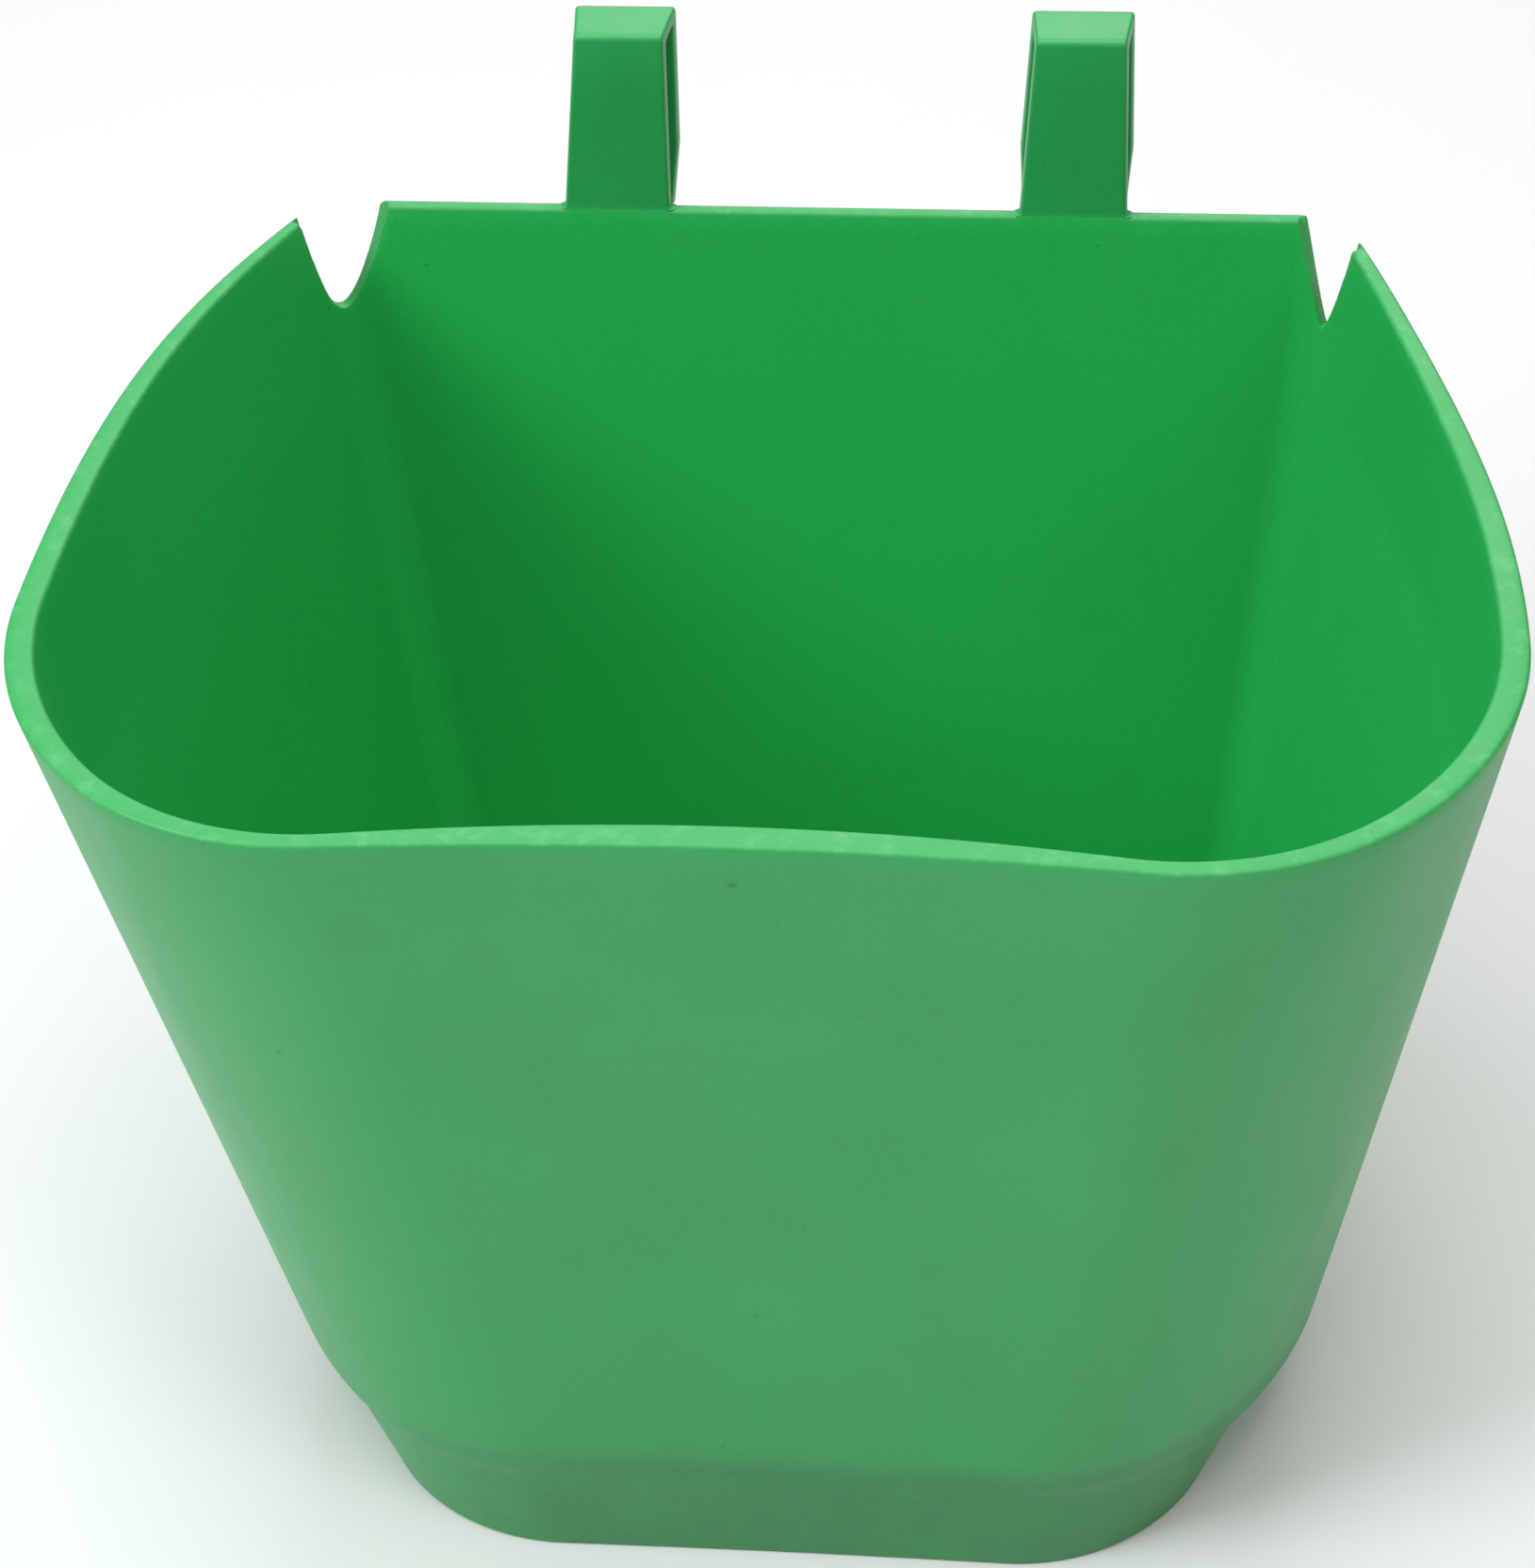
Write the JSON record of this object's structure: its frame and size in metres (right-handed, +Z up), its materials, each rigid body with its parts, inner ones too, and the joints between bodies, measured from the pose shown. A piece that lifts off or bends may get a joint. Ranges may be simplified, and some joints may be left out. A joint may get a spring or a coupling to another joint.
{
  "type": "feed bucket",
  "caption": "Tapered hook-over feed bucket with a flat back wall, flared round front, notched rear rim corners, stepped foot and moulded rail hooks.",
  "frame": {"origin": "middle of the overall box, at the height of the flat foot that the bucket stands on", "axes": "+Z up, +Y towards the flat back wall and the hooks, +X to the right seen from the front"},
  "size_m": [0.4, 0.3215, 0.366],
  "materials": {
    "green_plastic": "satin moulded polyethylene"
  },
  "bodies": {
    "root": {"back_wall": "green_plastic", "left_side_wall": "green_plastic", "right_side_wall": "green_plastic", "left_front_corner": "green_plastic", "right_front_corner": "green_plastic", "front_wall": "green_plastic", "rim_lip": "green_plastic", "shoulder": "green_plastic", "foot_wall": "green_plastic", "floor_plate": "green_plastic", "left_hook": "green_plastic", "right_hook": "green_plastic"}
  },
  "joints": []
}
